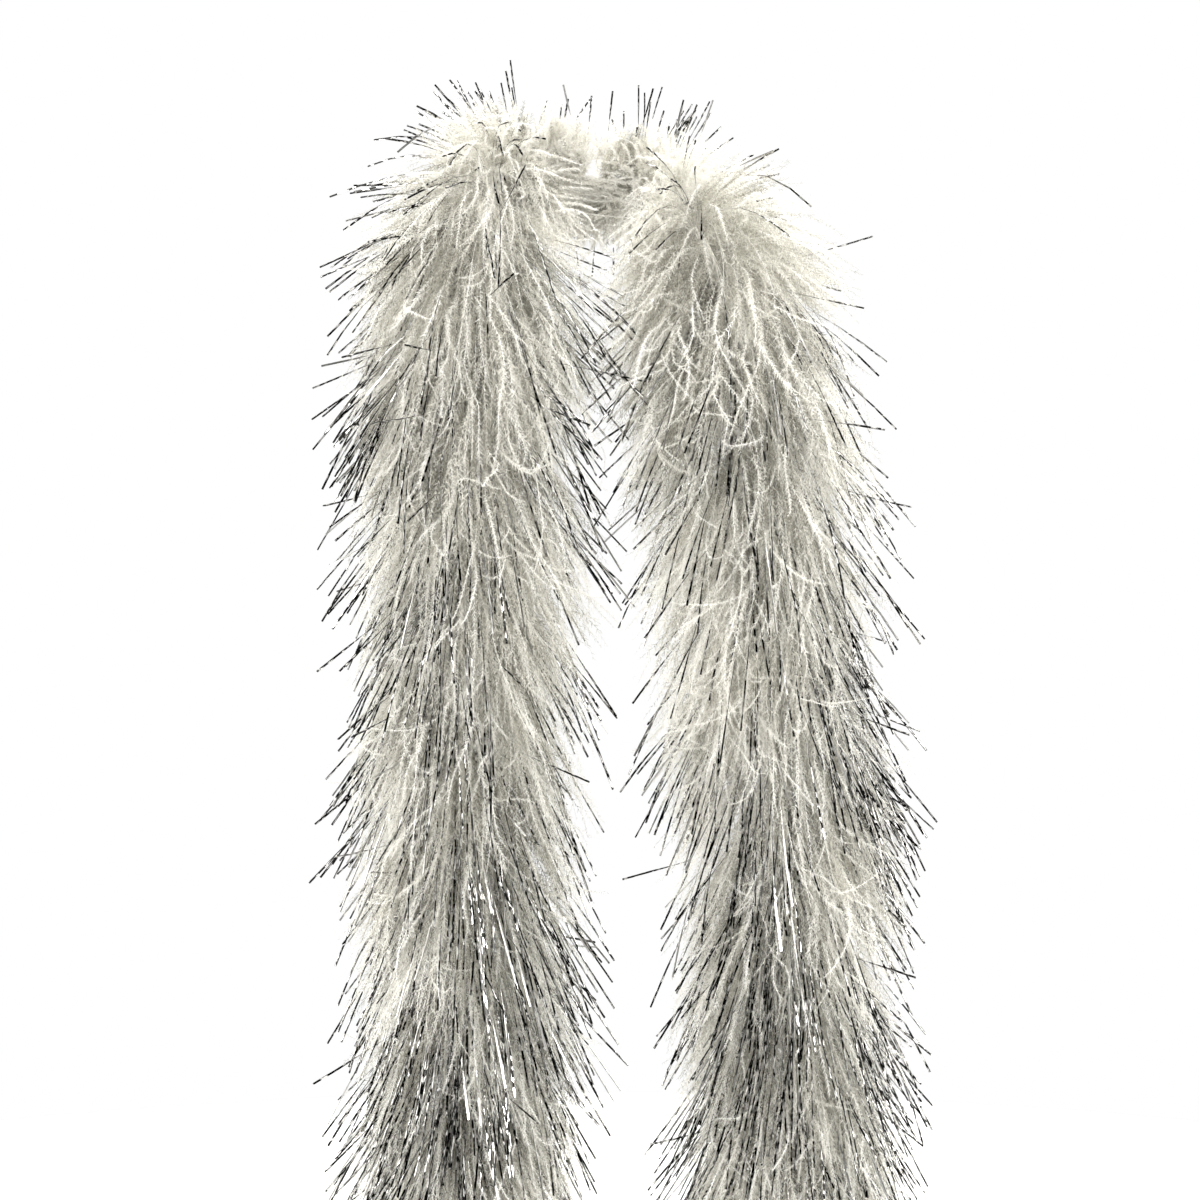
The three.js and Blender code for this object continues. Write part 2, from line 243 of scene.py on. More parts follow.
def course(rng, root, d, w, t, length, steps, start, end, bend, swing, tilt, wave, wave_len, curl, curl_from=0.4):
    """Strands as points. Each leaves the cord at the angle start from straight down and settles to the angle end over
    the length bend, swung sideways by swing and along the cord by tilt; it waves, and its tip rolls by curl."""
    n = len(root)
    ds = (length / steps)[:, None]
    ref = unit(rng.normal(size=(n, 3)))
    phase = rng.uniform(0, 2 * math.pi, (n, 2))
    axis = unit(rng.normal(size=(n, 3)))
    p = root.copy()
    out = [p.copy()]
    for k in range(steps):
        f = (k + 0.5) / steps
        s = length * f
        angle = (end + (start - end) * np.exp(-s / bend))[:, None]
        base = d * np.sin(angle) + DOWN * np.cos(angle) + w * np.tan(swing)[:, None] + t * np.tan(tilt)[:, None]
        base = unit(base)
        e1 = unit(np.cross(base, ref))
        e2 = np.cross(base, e1)
        a = (2 * math.pi * s / wave_len)[:, None]
        v = base + (wave * min(1.0, 0.3 + 1.4 * f))[:, None] * (np.sin(a + phase[:, :1]) * e1 + 0.8 * np.sin(1.37 * a + phase[:, 1:]) * e2)
        v = unit(v)
        roll = (curl * max(0.0, (f - curl_from) / (1 - curl_from)) ** 1.3)[:, None]
        v = v * np.cos(roll) + np.cross(axis, v) * np.sin(roll) + axis * (axis * v).sum(1, keepdims=True) * (1 - np.cos(roll))
        p = p + v * ds
        out.append(p.copy())
    return np.stack(out, 1)


def clump(pts, group, strength):
    """Draws each strand towards its group's middle strand, more towards the tip."""
    g = group.max() + 1
    total = np.zeros((g,) + pts.shape[1:])
    np.add.at(total, group, pts)
    count = np.bincount(group, minlength=g)[:, None, None]
    guide = (total / np.maximum(count, 1))[group]
    f = np.linspace(0, 1, pts.shape[1])[None, :, None] ** 1.15
    return pts + (guide - pts) * f * strength[group][:, None, None]


def side_vectors(t, turn):
    """A vector across each tangent, turned by turn about it."""
    ref = np.where(np.abs(t[..., 2:3]) > 0.9, np.array([1.0, 0, 0]), np.array([0, 0, 1.0]))
    a = unit(np.cross(t, ref))
    b = np.cross(t, a)
    return a * np.cos(turn)[..., None] + b * np.sin(turn)[..., None]


def tangents(pts):
    t = np.empty_like(pts)
    t[:, 1:-1] = pts[:, 2:] - pts[:, :-2]
    t[:, 0] = pts[:, 1] - pts[:, 0]
    t[:, -1] = pts[:, -1] - pts[:, -2]
    return unit(t)


def ribbons(pts, width, turn0, turns, tone, root_shade_lift):
    """Flat strands: (vertices, triangles, uv per corner). width is strands x points. lift raises V at the root, which
    lightens the painted root shade.
    """
    n, m, _ = pts.shape
    t = tangents(pts)
    turn = turn0[:, None] + turns[:, None] * 2 * math.pi * np.linspace(0, 1, m)[None]
    w = side_vectors(t, turn) * (width / 2)[..., None]
    v = np.stack([pts - w, pts + w], 2).reshape(-1, 3)
    k = np.arange(m - 1)
    base = (np.arange(n) * 2 * m)[:, None] + 2 * k[None]
    tri = np.stack([base, base + 1, base + 3, base, base + 3, base + 2], -1).reshape(-1, 3)
    f0 = root_shade_lift[:, None] + (1 - root_shade_lift[:, None]) * (k / (m - 1))[None]
    f1 = root_shade_lift[:, None] + (1 - root_shade_lift[:, None]) * ((k + 1) / (m - 1))[None]
    lo = np.broadcast_to(tone[:, None] - 0.012, (n, m - 1))
    hi = np.broadcast_to(tone[:, None] + 0.012, (n, m - 1))
    uv = np.stack(
        [np.stack(c, -1) for c in ((lo, f0), (hi, f0), (hi, f1), (lo, f0), (hi, f1), (lo, f1))], 2
    ).reshape(-1, 2)
    return v, tri, uv


def wires(pts, radius, tone):
    """Thin three-sided strands. radius is strands x points."""
    n, m, _ = pts.shape
    t = tangents(pts)
    v = np.stack([pts + side_vectors(t, np.full((n, m), a)) * radius[..., None] for a in (0.0, 2.0944, 4.1888)], 2)
    v = v.reshape(-1, 3)
    k = np.arange(m - 1)
    base = (np.arange(n) * 3 * m)[:, None, None] + 3 * k[None, :, None] + np.zeros((1, 1, 3), int)
    a, b = np.array([0, 1, 2])[None, None], np.array([1, 2, 0])[None, None]
    tri = np.stack([base + a, base + b, base + b + 3, base + a, base + b + 3, base + a + 3], -1).reshape(-1, 3)
    f0 = np.broadcast_to((k / (m - 1))[None, :, None], (n, m - 1, 3))
    f1 = np.broadcast_to(((k + 1) / (m - 1))[None, :, None], (n, m - 1, 3))
    lo = np.broadcast_to((tone - 0.012)[:, None, None], (n, m - 1, 3))
    hi = np.broadcast_to((tone + 0.012)[:, None, None], (n, m - 1, 3))
    uv = np.stack(
        [np.stack(c, -1) for c in ((lo, f0), (hi, f0), (hi, f1), (lo, f0), (hi, f1), (lo, f1))], 3
    ).reshape(-1, 2)
    return v, tri, uv


def barbules(rng, pts, count, size, tone, base_w, first, root_shade_lift, spread=(36, 74)):
    """Short fine hairs along each strand, one triangle each."""
    n, m, _ = pts.shape
    f = first + (0.99 - first) * ((np.arange(count)[None] + rng.uniform(0, 1, (n, count))) / count) ** 0.85
    x = f * (m - 1)
    i = np.minimum(x.astype(int), m - 2)
    g = (x - i)[..., None]
    rows = np.arange(n)[:, None]
    a, b = pts[rows, i], pts[rows, i + 1]
    c = a * (1 - g) + b * g
    t = unit(b - a)
    turn = rng.uniform(0, 2 * math.pi, (n, 1)) + 2.39996 * np.arange(count)[None] + rng.normal(0, 0.5, (n, count))
    e = side_vectors(t, turn)
    beta = np.radians(rng.uniform(spread[0], spread[1], (n, count)) * (1.0 - 0.3 * f))[..., None]
    env = np.interp(f, [0, 0.15, 0.5, 0.85, 1.0], [0.5, 0.85, 1.0, 0.8, 0.45])
    l = (size[:, None] * env * rng.uniform(0.65, 1.2, (n, count)))[..., None]
    tip = c + (t * np.cos(beta) + e * np.sin(beta)) * l + DOWN * l * 0.12
    hw = t * base_w * 0.5 * env[..., None]
    v = np.stack([c - hw, c + hw, tip], 2).reshape(-1, 3)
    tri = np.arange(n * count * 3).reshape(-1, 3)
    u0 = np.broadcast_to(tone[:, None], (n, count))
    f = root_shade_lift[:, None] + (1 - root_shade_lift[:, None]) * f
    uv = np.stack(
        [np.stack([u0 - 0.012, f], -1), np.stack([u0 + 0.012, f], -1), np.stack([u0, np.minimum(1, f + 0.05)], -1)], 2
    ).reshape(-1, 2)
    return v, tri, uv


def mesh_piece(name, parts, material, smooth=False):
    """One mesh object from several (vertices, triangles, uv) parts."""
    vs, ts, uvs, base = [], [], [], 0
    for v, t, uv in parts:
        vs.append(v)
        ts.append(t + base)
        uvs.append(uv)
        base += len(v)
    v = np.vstack(vs).astype(np.float32)
    t = np.vstack(ts).astype(np.int32)
    uv = np.vstack(uvs).astype(np.float32)
    me = bpy.data.meshes.new(name)
    me.vertices.add(len(v))
    me.vertices.foreach_set("co", v.ravel())
    me.loops.add(t.size)
    me.loops.foreach_set("vertex_index", t.ravel())
    me.polygons.add(len(t))
    me.polygons.foreach_set("loop_start", np.arange(0, t.size, 3, dtype=np.int32))
    me.polygons.foreach_set("loop_total", np.full(len(t), 3, np.int32))
    me.polygons.foreach_set("use_smooth", np.full(len(t), smooth, bool))
    layer = me.uv_layers.new(name="OFBake")
    layer.data.foreach_set("uv", np.clip(uv, 0.001, 0.999).ravel())
    me.materials.append(material)
    me.update()
    ob = bpy.data.objects.new(name, me)
    bpy.context.scene.collection.objects.link(ob)
    return ob


# ---------------------------------------------------------------------------------------------
# materials
# ---------------------------------------------------------------------------------------------
def new_material(name):
    mat = bpy.data.materials.new(name)
    mat.use_nodes = True
    nt = mat.node_tree
    nt.nodes.clear()
    return mat, nt, nt.nodes.new("ShaderNodeOutputMaterial")


def ramp(nt, stops, interpolation="LINEAR"):
    r = nt.nodes.new("ShaderNodeValToRGB")
    r.color_ramp.interpolation = interpolation
    e = r.color_ramp.elements
    while len(e) > 1:
        e.remove(e[-1])
    e[0].position, e[0].color = stops[0][0], (*stops[0][1], 1)
    for x, c in stops[1:]:
        n = e.new(x)
        n.color = (*c, 1)
    return r


def strand_uv(nt):
    uv = nt.nodes.new("ShaderNodeUVMap")
    uv.uv_map = "OFBake"
    sep = nt.nodes.new("ShaderNodeSeparateXYZ")
    nt.links.new(uv.outputs[0], sep.inputs[0])
    return sep


def multiply(nt, a, b):
    m = nt.nodes.new("ShaderNodeMix")
    m.data_type = "RGBA"
    m.blend_type = "MULTIPLY"
    m.inputs[0].default_value = 1.0
    nt.links.new(a, m.inputs[6])
    nt.links.new(b, m.inputs[7])
    return m.outputs[2]


def flue_material():
    mat, nt, out = new_material("ostrich_flue")
    sep = strand_uv(nt)
    # tone of each strand: random per wisp and per strand, and at the low end a warm dark grey that is painted shade
    # among the strands
    tone = ramp(nt, [
        (0.0, (0.22, 0.212, 0.174)), (0.25, (0.44, 0.428, 0.374)), (0.5, (0.72, 0.706, 0.645)),
        (0.75, (0.90, 0.889, 0.842)), (1.0, (0.99, 0.984, 0.957)),
    ])
    # painted shade: darker towards the root (low V), standing in for the shade deep in the flue near the cord
    along = ramp(nt, [(0.0, (0.33, 0.32, 0.29)), (0.28, (0.60, 0.59, 0.56)), (0.56, (1, 1, 1)), (1.0, (1, 1, 1))])
    nt.links.new(sep.outputs[0], tone.inputs[0])
    nt.links.new(sep.outputs[1], along.inputs[0])
    colour = multiply(nt, tone.outputs[0], along.outputs[0])
    p = nt.nodes.new("ShaderNodeBsdfPrincipled")
    p.inputs["Roughness"].default_value = 0.6
    p.inputs["Specular IOR Level"].default_value = 0.3
    p.inputs["Sheen Weight"].default_value = 0.3
    p.inputs["Sheen Roughness"].default_value = 0.4
    nt.links.new(colour, p.inputs["Base Color"])
    tr = nt.nodes.new("ShaderNodeBsdfTranslucent")
    nt.links.new(colour, tr.inputs["Color"])
    mix = nt.nodes.new("ShaderNodeMixShader")
    mix.inputs[0].default_value = 0.32
    nt.links.new(p.outputs[0], mix.inputs[1])
    nt.links.new(tr.outputs[0], mix.inputs[2])
    nt.links.new(mix.outputs[0], out.inputs[0])
    return mat


def tinsel_material():
    """Twisted metallic foil, its base colour painted near-black as a painted dark reflection, with short bright streaks
    painted along it as glints where it turns to the light.
    """
    mat, nt, out = new_material("metallic_filament")
    sep = strand_uv(nt)
    # painted reflection: most filaments near-black, standing in for the dark surroundings the silver foil reflects; a
    # few grey to silver
    tone = ramp(nt, [
        (0.0, (0.006, 0.006, 0.006)), (0.70, (0.014, 0.014, 0.013)), (0.82, (0.04, 0.04, 0.04)), (0.90, (0.30, 0.30, 0.29)),
        (1.0, (0.66, 0.655, 0.64)),
    ])
    nt.links.new(sep.outputs[0], tone.inputs[0])
    stretch = nt.nodes.new("ShaderNodeCombineXYZ")
    for out_socket, gain, to in ((sep.outputs[0], 61.0, 0), (sep.outputs[1], 20.0, 1)):
        m = nt.nodes.new("ShaderNodeMath")
        m.operation = "MULTIPLY"
        m.inputs[1].default_value = gain
        nt.links.new(out_socket, m.inputs[0])
        nt.links.new(m.outputs[0], stretch.inputs[to])
    noise = nt.nodes.new("ShaderNodeTexNoise")
    noise.inputs["Scale"].default_value = 1.0
    noise.inputs["Detail"].default_value = 1.0
    nt.links.new(stretch.outputs[0], noise.inputs["Vector"])
    # painted highlights: where the stretched noise runs high the base colour turns bright silver, short glints along
    # the foil
    painted_glint_mask = ramp(nt, [(0.57, (0, 0, 0)), (0.59, (1, 1, 1))])
    nt.links.new(noise.outputs["Fac"], painted_glint_mask.inputs[0])
    mix = nt.nodes.new("ShaderNodeMix")
    mix.data_type = "RGBA"
    nt.links.new(painted_glint_mask.outputs[0], mix.inputs[0])
    nt.links.new(tone.outputs[0], mix.inputs[6])
    mix.inputs[7].default_value = (0.88, 0.875, 0.86, 1)
    p = nt.nodes.new("ShaderNodeBsdfPrincipled")
    p.inputs["Metallic"].default_value = 1.0
    p.inputs["Roughness"].default_value = 0.30
    p.inputs["Specular Tint"].default_value = (0.22, 0.22, 0.22, 1)
    nt.links.new(mix.outputs[2], p.inputs["Base Color"])
    nt.links.new(p.outputs[0], out.inputs[0])
    return mat


def cotton_material(name, low, high, scale, roughness):
    """Spun cotton: a fine fibre grain along the strand, a little uneven in colour."""
    mat, nt, out = new_material(name)
    co = nt.nodes.new("ShaderNodeTexCoord")
    noise = nt.nodes.new("ShaderNodeTexNoise")
    noise.inputs["Scale"].default_value = scale
    noise.inputs["Detail"].default_value = 6.0
    noise.inputs["Roughness"].default_value = 0.62
    nt.links.new(co.outputs["Object"], noise.inputs["Vector"])
    c = ramp(nt, [(0.3, low), (0.72, high)])
    nt.links.new(noise.outputs["Fac"], c.inputs[0])
    bump = nt.nodes.new("ShaderNodeBump")
    bump.inputs["Strength"].default_value = 0.5
    bump.inputs["Distance"].default_value = 0.0004
    nt.links.new(noise.outputs["Fac"], bump.inputs["Height"])
    p = nt.nodes.new("ShaderNodeBsdfPrincipled")
    p.inputs["Roughness"].default_value = roughness
    p.inputs["Specular IOR Level"].default_value = 0.25
    p.inputs["Sheen Weight"].default_value = 0.3
    nt.links.new(c.outputs[0], p.inputs["Base Color"])
    nt.links.new(bump.outputs[0], p.inputs["Normal"])
    nt.links.new(p.outputs[0], out.inputs[0])
    return mat


def quill_material():
    """Split quill: pale horn, glossier, with long faint streaks."""
    mat, nt, out = new_material("split_quill")
    co = nt.nodes.new("ShaderNodeTexCoord")
    mp = nt.nodes.new("ShaderNodeMapping")
    mp.inputs["Scale"].default_value = (900, 900, 120)
    noise = nt.nodes.new("ShaderNodeTexNoise")
    noise.inputs["Scale"].default_value = 1.0
    noise.inputs["Detail"].default_value = 4.0
    nt.links.new(co.outputs["Object"], mp.inputs["Vector"])
    nt.links.new(mp.outputs[0], noise.inputs["Vector"])
    c = ramp(nt, [(0.25, (0.62, 0.60, 0.54)), (0.75, (0.86, 0.85, 0.80))])
    nt.links.new(noise.outputs["Fac"], c.inputs[0])
    p = nt.nodes.new("ShaderNodeBsdfPrincipled")
    p.inputs["Roughness"].default_value = 0.38
    nt.links.new(c.outputs[0], p.inputs["Base Color"])
    nt.links.new(p.outputs[0], out.inputs[0])
    return mat


FLUE = flue_material()
TINSEL = tinsel_material()
CORD = cotton_material("core_cord_cotton", (0.66, 0.65, 0.61), (0.88, 0.875, 0.85), 2600, 0.86)
THREAD = cotton_material("binding_thread", (0.74, 0.735, 0.715), (0.93, 0.925, 0.91), 4200, 0.6)
QUILL = quill_material()

# ---------------------------------------------------------------------------------------------
# camera
# ---------------------------------------------------------------------------------------------
AIM = np.array([0.0072, -0.170, -0.313])
RANGE = 2.5
WIDE = 0.864
ELEV = math.radians(2.0)
cam_data = bpy.data.cameras.new("camera")
cam = bpy.data.objects.new("camera", cam_data)
bpy.context.scene.collection.objects.link(cam)
cam_data.sensor_width = 36.0
cam_data.lens = 36.0 * RANGE / WIDE
cam.location = AIM + RANGE * np.array([0, -math.cos(ELEV), math.sin(ELEV)])
cam.rotation_mode = "QUATERNION"
cam.rotation_quaternion = (Vector(AIM) - cam.location).to_track_quat("-Z", "Y")
bpy.context.scene.camera = cam


# ---------------------------------------------------------------------------------------------
# core cord: a twisted cotton cord of three strands, in lengths that each cross one joint; only the lowest goes with a
# body, the lower tail
# ---------------------------------------------------------------------------------------------
def closed_tube(centres, frames_n, frames_b, ring):
    """A closed skin: ring(k) gives the section's (angles, radii) at station k. Returns (vertices, triangles, uv)."""
    vs = []
    for k in range(len(centres)):
        a, r = ring(k)
        vs.append(centres[k] + frames_n[k] * (r * np.cos(a))[:, None] + frames_b[k] * (r * np.sin(a))[:, None])
    m, n = len(a), len(centres)
    v = np.vstack(vs + [centres[:1], centres[-1:]])
    i, j = np.meshgrid(np.arange(n - 1), np.arange(m), indexing="ij")
    a0, a1 = i * m + j, i * m + (j + 1) % m
    tri = np.stack([a0, a1, a1 + m, a0, a1 + m, a0 + m], -1).reshape(-1, 3)
    u0, u1 = j / m, (j + 1) / m
    w0, w1 = i / (n - 1), (i + 1) / (n - 1)
    uv = np.stack([np.stack(c, -1) for c in ((u0, w0), (u1, w0), (u1, w1), (u0, w0), (u1, w1), (u0, w1))], 2).reshape(-1, 2)
    j = np.arange(m)
    cap0 = np.stack([np.full(m, n * m), (j + 1) % m, j], 1)
    cap1 = np.stack([np.full(m, n * m + 1), (n - 1) * m + j, (n - 1) * m + (j + 1) % m], 1)
    cuv = np.tile([[0.5, 0.5], [0.51, 0.5], [0.5, 0.51]], (2 * m, 1))
    tri = np.vstack([tri, cap0, cap1])
    uv = np.vstack([uv, cuv])
    if tube_volume(v, tri) < 0:
        tri = tri[:, ::-1]
        uv = uv.reshape(-1, 3, 2)[:, ::-1].reshape(-1, 2)
    return v, tri, uv


def tube_volume(v, t):
    return float(np.einsum("ij,ij->i", v[t[:, 0]], np.cross(v[t[:, 1]], v[t[:, 2]])).sum())


def cord_length(name, u0, u1):
    n = max(4, int(round(abs(u1 - u0) / 0.0018)))
    u = np.linspace(u0, u1, n + 1)
    p, t, nn, bb = frame_at(u)
    a = np.linspace(0, 2 * math.pi, 24, endpoint=False)

    def ring(k):
        lay = 2 * math.pi * u[k] / 0.016
        return a, CORD_R * (0.80 + 0.20 * np.abs(np.cos(1.5 * (a - lay))) ** 0.8)

    return mesh_piece(name, [closed_tube(p, nn, bb, ring)], CORD, smooth=True), p[:: max(1, n // 60)], p


def span_bodies(side, k):
    """The two bodies that meet at hinge k, from the collar down."""
    chain = ["collar", f"{side}_tail_upper", f"{side}_tail_middle", f"{side}_tail_lower"]
    return chain[k], chain[k + 1]


CUTS = [0.0, 0.395, 0.6025, 0.810, HALF]
for side, sign in SIDES:
    for k in range(4):
        low, high = CUTS[k], CUTS[k + 1]
        name = f"{side}_core_cord_{k + 1}"
        start = low if k else (0.0 if side == "left" else 0.0)
        ob, path, full = cord_length(name, sign * (start + (0.0002 if k == 0 else 0.0)), sign * high)
        if k < 3:
            h = HINGES[k]
            a, b = span_bodies(side, k)
            s0 = frame_at(sign * (h - 0.02))[0][0]
            s1 = frame_at(sign * (h + 0.02))[0][0]
            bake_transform(ob)
        else:
            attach(ob, f"{side}_tail_lower")
        nodes = {
            0: [],
            1: [f"{side}_core_cord_upper"],
            2: [f"{side}_core_cord_middle"],
            3: [f"{side}_core_cord_lower"],
        }[k]
        if k == 0 and side == "left":
            nodes = ["core_cord_collar"]
        if nodes:
            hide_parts(*nodes)


# ---------------------------------------------------------------------------------------------
# split-quill strips: flat tapes wound round the cord, which the flue's strands grow from
# ---------------------------------------------------------------------------------------------
def ply_direction(u, angle0):
    p, t, n, b = frame_at(u)
    a = angle0 + 2 * math.pi * u / PITCH
    d = n * np.cos(a)[:, None] + b * np.sin(a)[:, None]
    return p, t, d, np.cross(t, d)


def tape(u0, u1, angle0, r, width, thick):
    n = max(4, int(round(abs(u1 - u0) / 0.004)))
    u = np.linspace(u0, u1, n + 1)
    p, t, d, w = ply_direction(u, angle0)
    c = p + d * r
    sec = np.array([[-1, -0.5], [-0.5, -1], [0.5, -1], [1, -0.5], [1, 0.5], [0.5, 1], [-0.5, 1], [-1, 0.5]])
    ang = np.arctan2(sec[:, 1] * thick / 2, sec[:, 0] * width / 2)
    rad = np.hypot(sec[:, 1] * thick / 2, sec[:, 0] * width / 2)
    return closed_tube(c, w, d, lambda k: (ang, rad))


for side, sign in SIDES:
    for k in range(4):
        low, high = CUTS[k], min(CUTS[k + 1], HALF - 0.0015)
        parts = [
            tape(sign * (low + 0.0006), sign * (high - 0.0006), 2 * math.pi * i / (PLIES + 1), 0.00440, 0.0030, 0.0007)
            for i in range(PLIES)
        ]
        parts.append(tape(sign * (low + 0.0006), sign * (high - 0.0006), 2 * math.pi * PLIES / (PLIES + 1), 0.00435, 0.0014, 0.0005))
        ob = mesh_piece(f"{side}_quill_strips_{k + 1}", parts, QUILL, smooth=True)
        if k < 3:
            a, b = span_bodies(side, k)
            s0 = frame_at(sign * (HINGES[k] - 0.02))[0][0]
            s1 = frame_at(sign * (HINGES[k] + 0.02))[0][0]
            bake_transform(ob)
        else:
            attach(ob, f"{side}_tail_lower")


# ---------------------------------------------------------------------------------------------
# thread bindings, end whippings and end loops
# ---------------------------------------------------------------------------------------------
def thread_coil(u_mid, length, radius, thread_r, turns):
    n = int(turns * 36)
    x = np.linspace(0, 1, n + 1)
    u = u_mid + (x - 0.5) * (length - 2 * thread_r)
    p, t, nn, bb = frame_at(u)
    a = 2 * math.pi * turns * x
    # the thread's ends tuck under the turns
    r = radius - 0.0009 * np.clip(1 - np.minimum(x, 1 - x) * turns / 0.35, 0, 1)
    out_dir = nn * np.cos(a)[:, None] + bb * np.sin(a)[:, None]
    c = p + out_dir * r[:, None]
    tang = unit(np.gradient(c, axis=0))
    b2 = unit(np.cross(tang, out_dir))
    ang = np.linspace(0, 2 * math.pi, 8, endpoint=False)
    return closed_tube(c, out_dir, b2, lambda k: (ang, np.full(8, thread_r)))


def binding_piece(name, node, u, length, body):
    turns = length / 0.00088
    parts = [
        thread_coil(u, length, 0.00605, 0.00046, turns),
        thread_coil(u, length - 0.0006, 0.00535, 0.00042, turns * 0.97),
    ]
    ob = mesh_piece(name, parts, THREAD, smooth=True)
    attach(ob, body)
    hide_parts(node)
    return ob


binding_piece("nape_binding", "nape_thread_binding", 0.0, 0.007, "collar")
for side, sign in SIDES:
    for k, place in enumerate(("shoulder", "chest", "waist")):
        binding_piece(
            f"{side}_{place}_binding", f"{side}_{place}_thread_binding",
            sign * (HINGES[k] - 0.0032 - BIND_LEN / 2), BIND_LEN, span_bodies(side, k)[0],
        )
    binding_piece(f"{side}_end_whipping_thread", f"{side}_end_whipping", sign * (HALF - 0.0055), 0.010, f"{side}_tail_lower")

    # the end loop: a two-strand twisted cord
    p, t, _, _ = frame_at(sign * HALF)
    along = t[0] * sign
    across = unit(np.array([1.0, 0, 0]) - along * along[0])
    a = np.linspace(0, 2 * math.pi, 97)[:-1]
    y = (1 - np.cos(a)) / 2
    c = p[0] + along * (0.0003 + 0.0013 + 0.0001 + y * 0.030)[:, None] + across * (0.008 * np.sin(a))[:, None]
    tang = unit(np.roll(c, -1, 0) - np.roll(c, 1, 0))
    up = np.cross(along, across)
    nn = unit(np.broadcast_to(up, c.shape) - tang * (tang @ up)[:, None])
    bb = np.cross(tang, nn)
    m = 12
    ring_a = np.linspace(0, 2 * math.pi, m, endpoint=False)
    vs = []
    for k in range(len(c)):
        lay = 2 * math.pi * k / len(c) * 9
        r = 0.0013 * (0.78 + 0.22 * np.abs(np.cos(ring_a - lay)) ** 0.8)
        vs.append(c[k] + nn[k] * (r * np.cos(ring_a))[:, None] + bb[k] * (r * np.sin(ring_a))[:, None])
    v = np.vstack(vs)
    i, j = np.meshgrid(np.arange(len(c)), np.arange(m), indexing="ij")
    i2 = (i + 1) % len(c)
    a0, a1, b0, b1 = i * m + j, i * m + (j + 1) % m, i2 * m + j, i2 * m + (j + 1) % m
    tri = np.stack([a0, a1, b1, a0, b1, b0], -1).reshape(-1, 3)
    if tube_volume(v, tri) < 0:
        tri = tri[:, ::-1]
    uv = np.tile([[0.2, 0.2], [0.8, 0.2], [0.8, 0.8]], (len(tri), 1))
    ob = mesh_piece(f"{side}_end_cord_loop", [(v, tri, uv)], CORD, smooth=True)
    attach(ob, f"{side}_tail_lower")
    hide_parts(f"{side}_end_loop")

# ---------------------------------------------------------------------------------------------
# the flue and the metallic filaments
# ---------------------------------------------------------------------------------------------
DENSITY = 2900  # flue strands to the metre of one ply
TINSEL_DENSITY = 4100  # metallic filaments to the metre
LEN_S = np.array([0, 0.06, 0.11, 0.15, 0.20, 0.25, 0.86, 0.915])
LEN_FLUE = np.array([0.058, 0.062, 0.086, 0.128, 0.150, 0.150, 0.145, 0.122])
LEN_TINSEL = np.array([0.078, 0.080, 0.092, 0.126, 0.148, 0.154, 0.152, 0.126])
# angles from straight down: where a strand leaves the cord, and where it settles
ANGLE_S = np.array([0.03, 0.10, 0.16, 0.24, 0.36])
START = np.radians([96, 92, 88, 80, 72])
END = np.radians([84, 66, 44, 31, 22])


def settled(rng, s, d, spread):
    """The angle from straight down that each strand settles to; those in front or on top fall the most."""
    falls = np.clip(0.5 * d[:, 2] - 0.75 * d[:, 1], 0, 1) * np.interp(s, [0.07, 0.12, 0.28, 0.36], [0, 30, 26, 8])
    return np.interp(s, ANGLE_S, END) - np.radians(falls) + spread


def along_cord(rng, s0, s1, density):
    """Roots' places, thicker over the shoulders, where the cord bends."""
    s = rng.uniform(s0, s1, int((s1 - s0) * density * 1.5))
    return np.sort(s[rng.uniform(0, 1.5, len(s)) < np.interp(s, [0.05, 0.10, 0.24, 0.32], [1.0, 1.5, 1.5, 1.0])])


def roots(rng, s, sign, angle0, group_turn, spread):
    """Roots of strands on the cord, and for each its outward, sideways and along-the-cord directions."""
    jitter = group_turn + rng.normal(0, spread, len(s))
    p, t, d, w = ply_direction(sign * s, angle0)
    d = d * np.cos(jitter)[:, None] + w * np.sin(jitter)[:, None]
    return p + d * 0.0048, t * sign, d, np.cross(t, d)


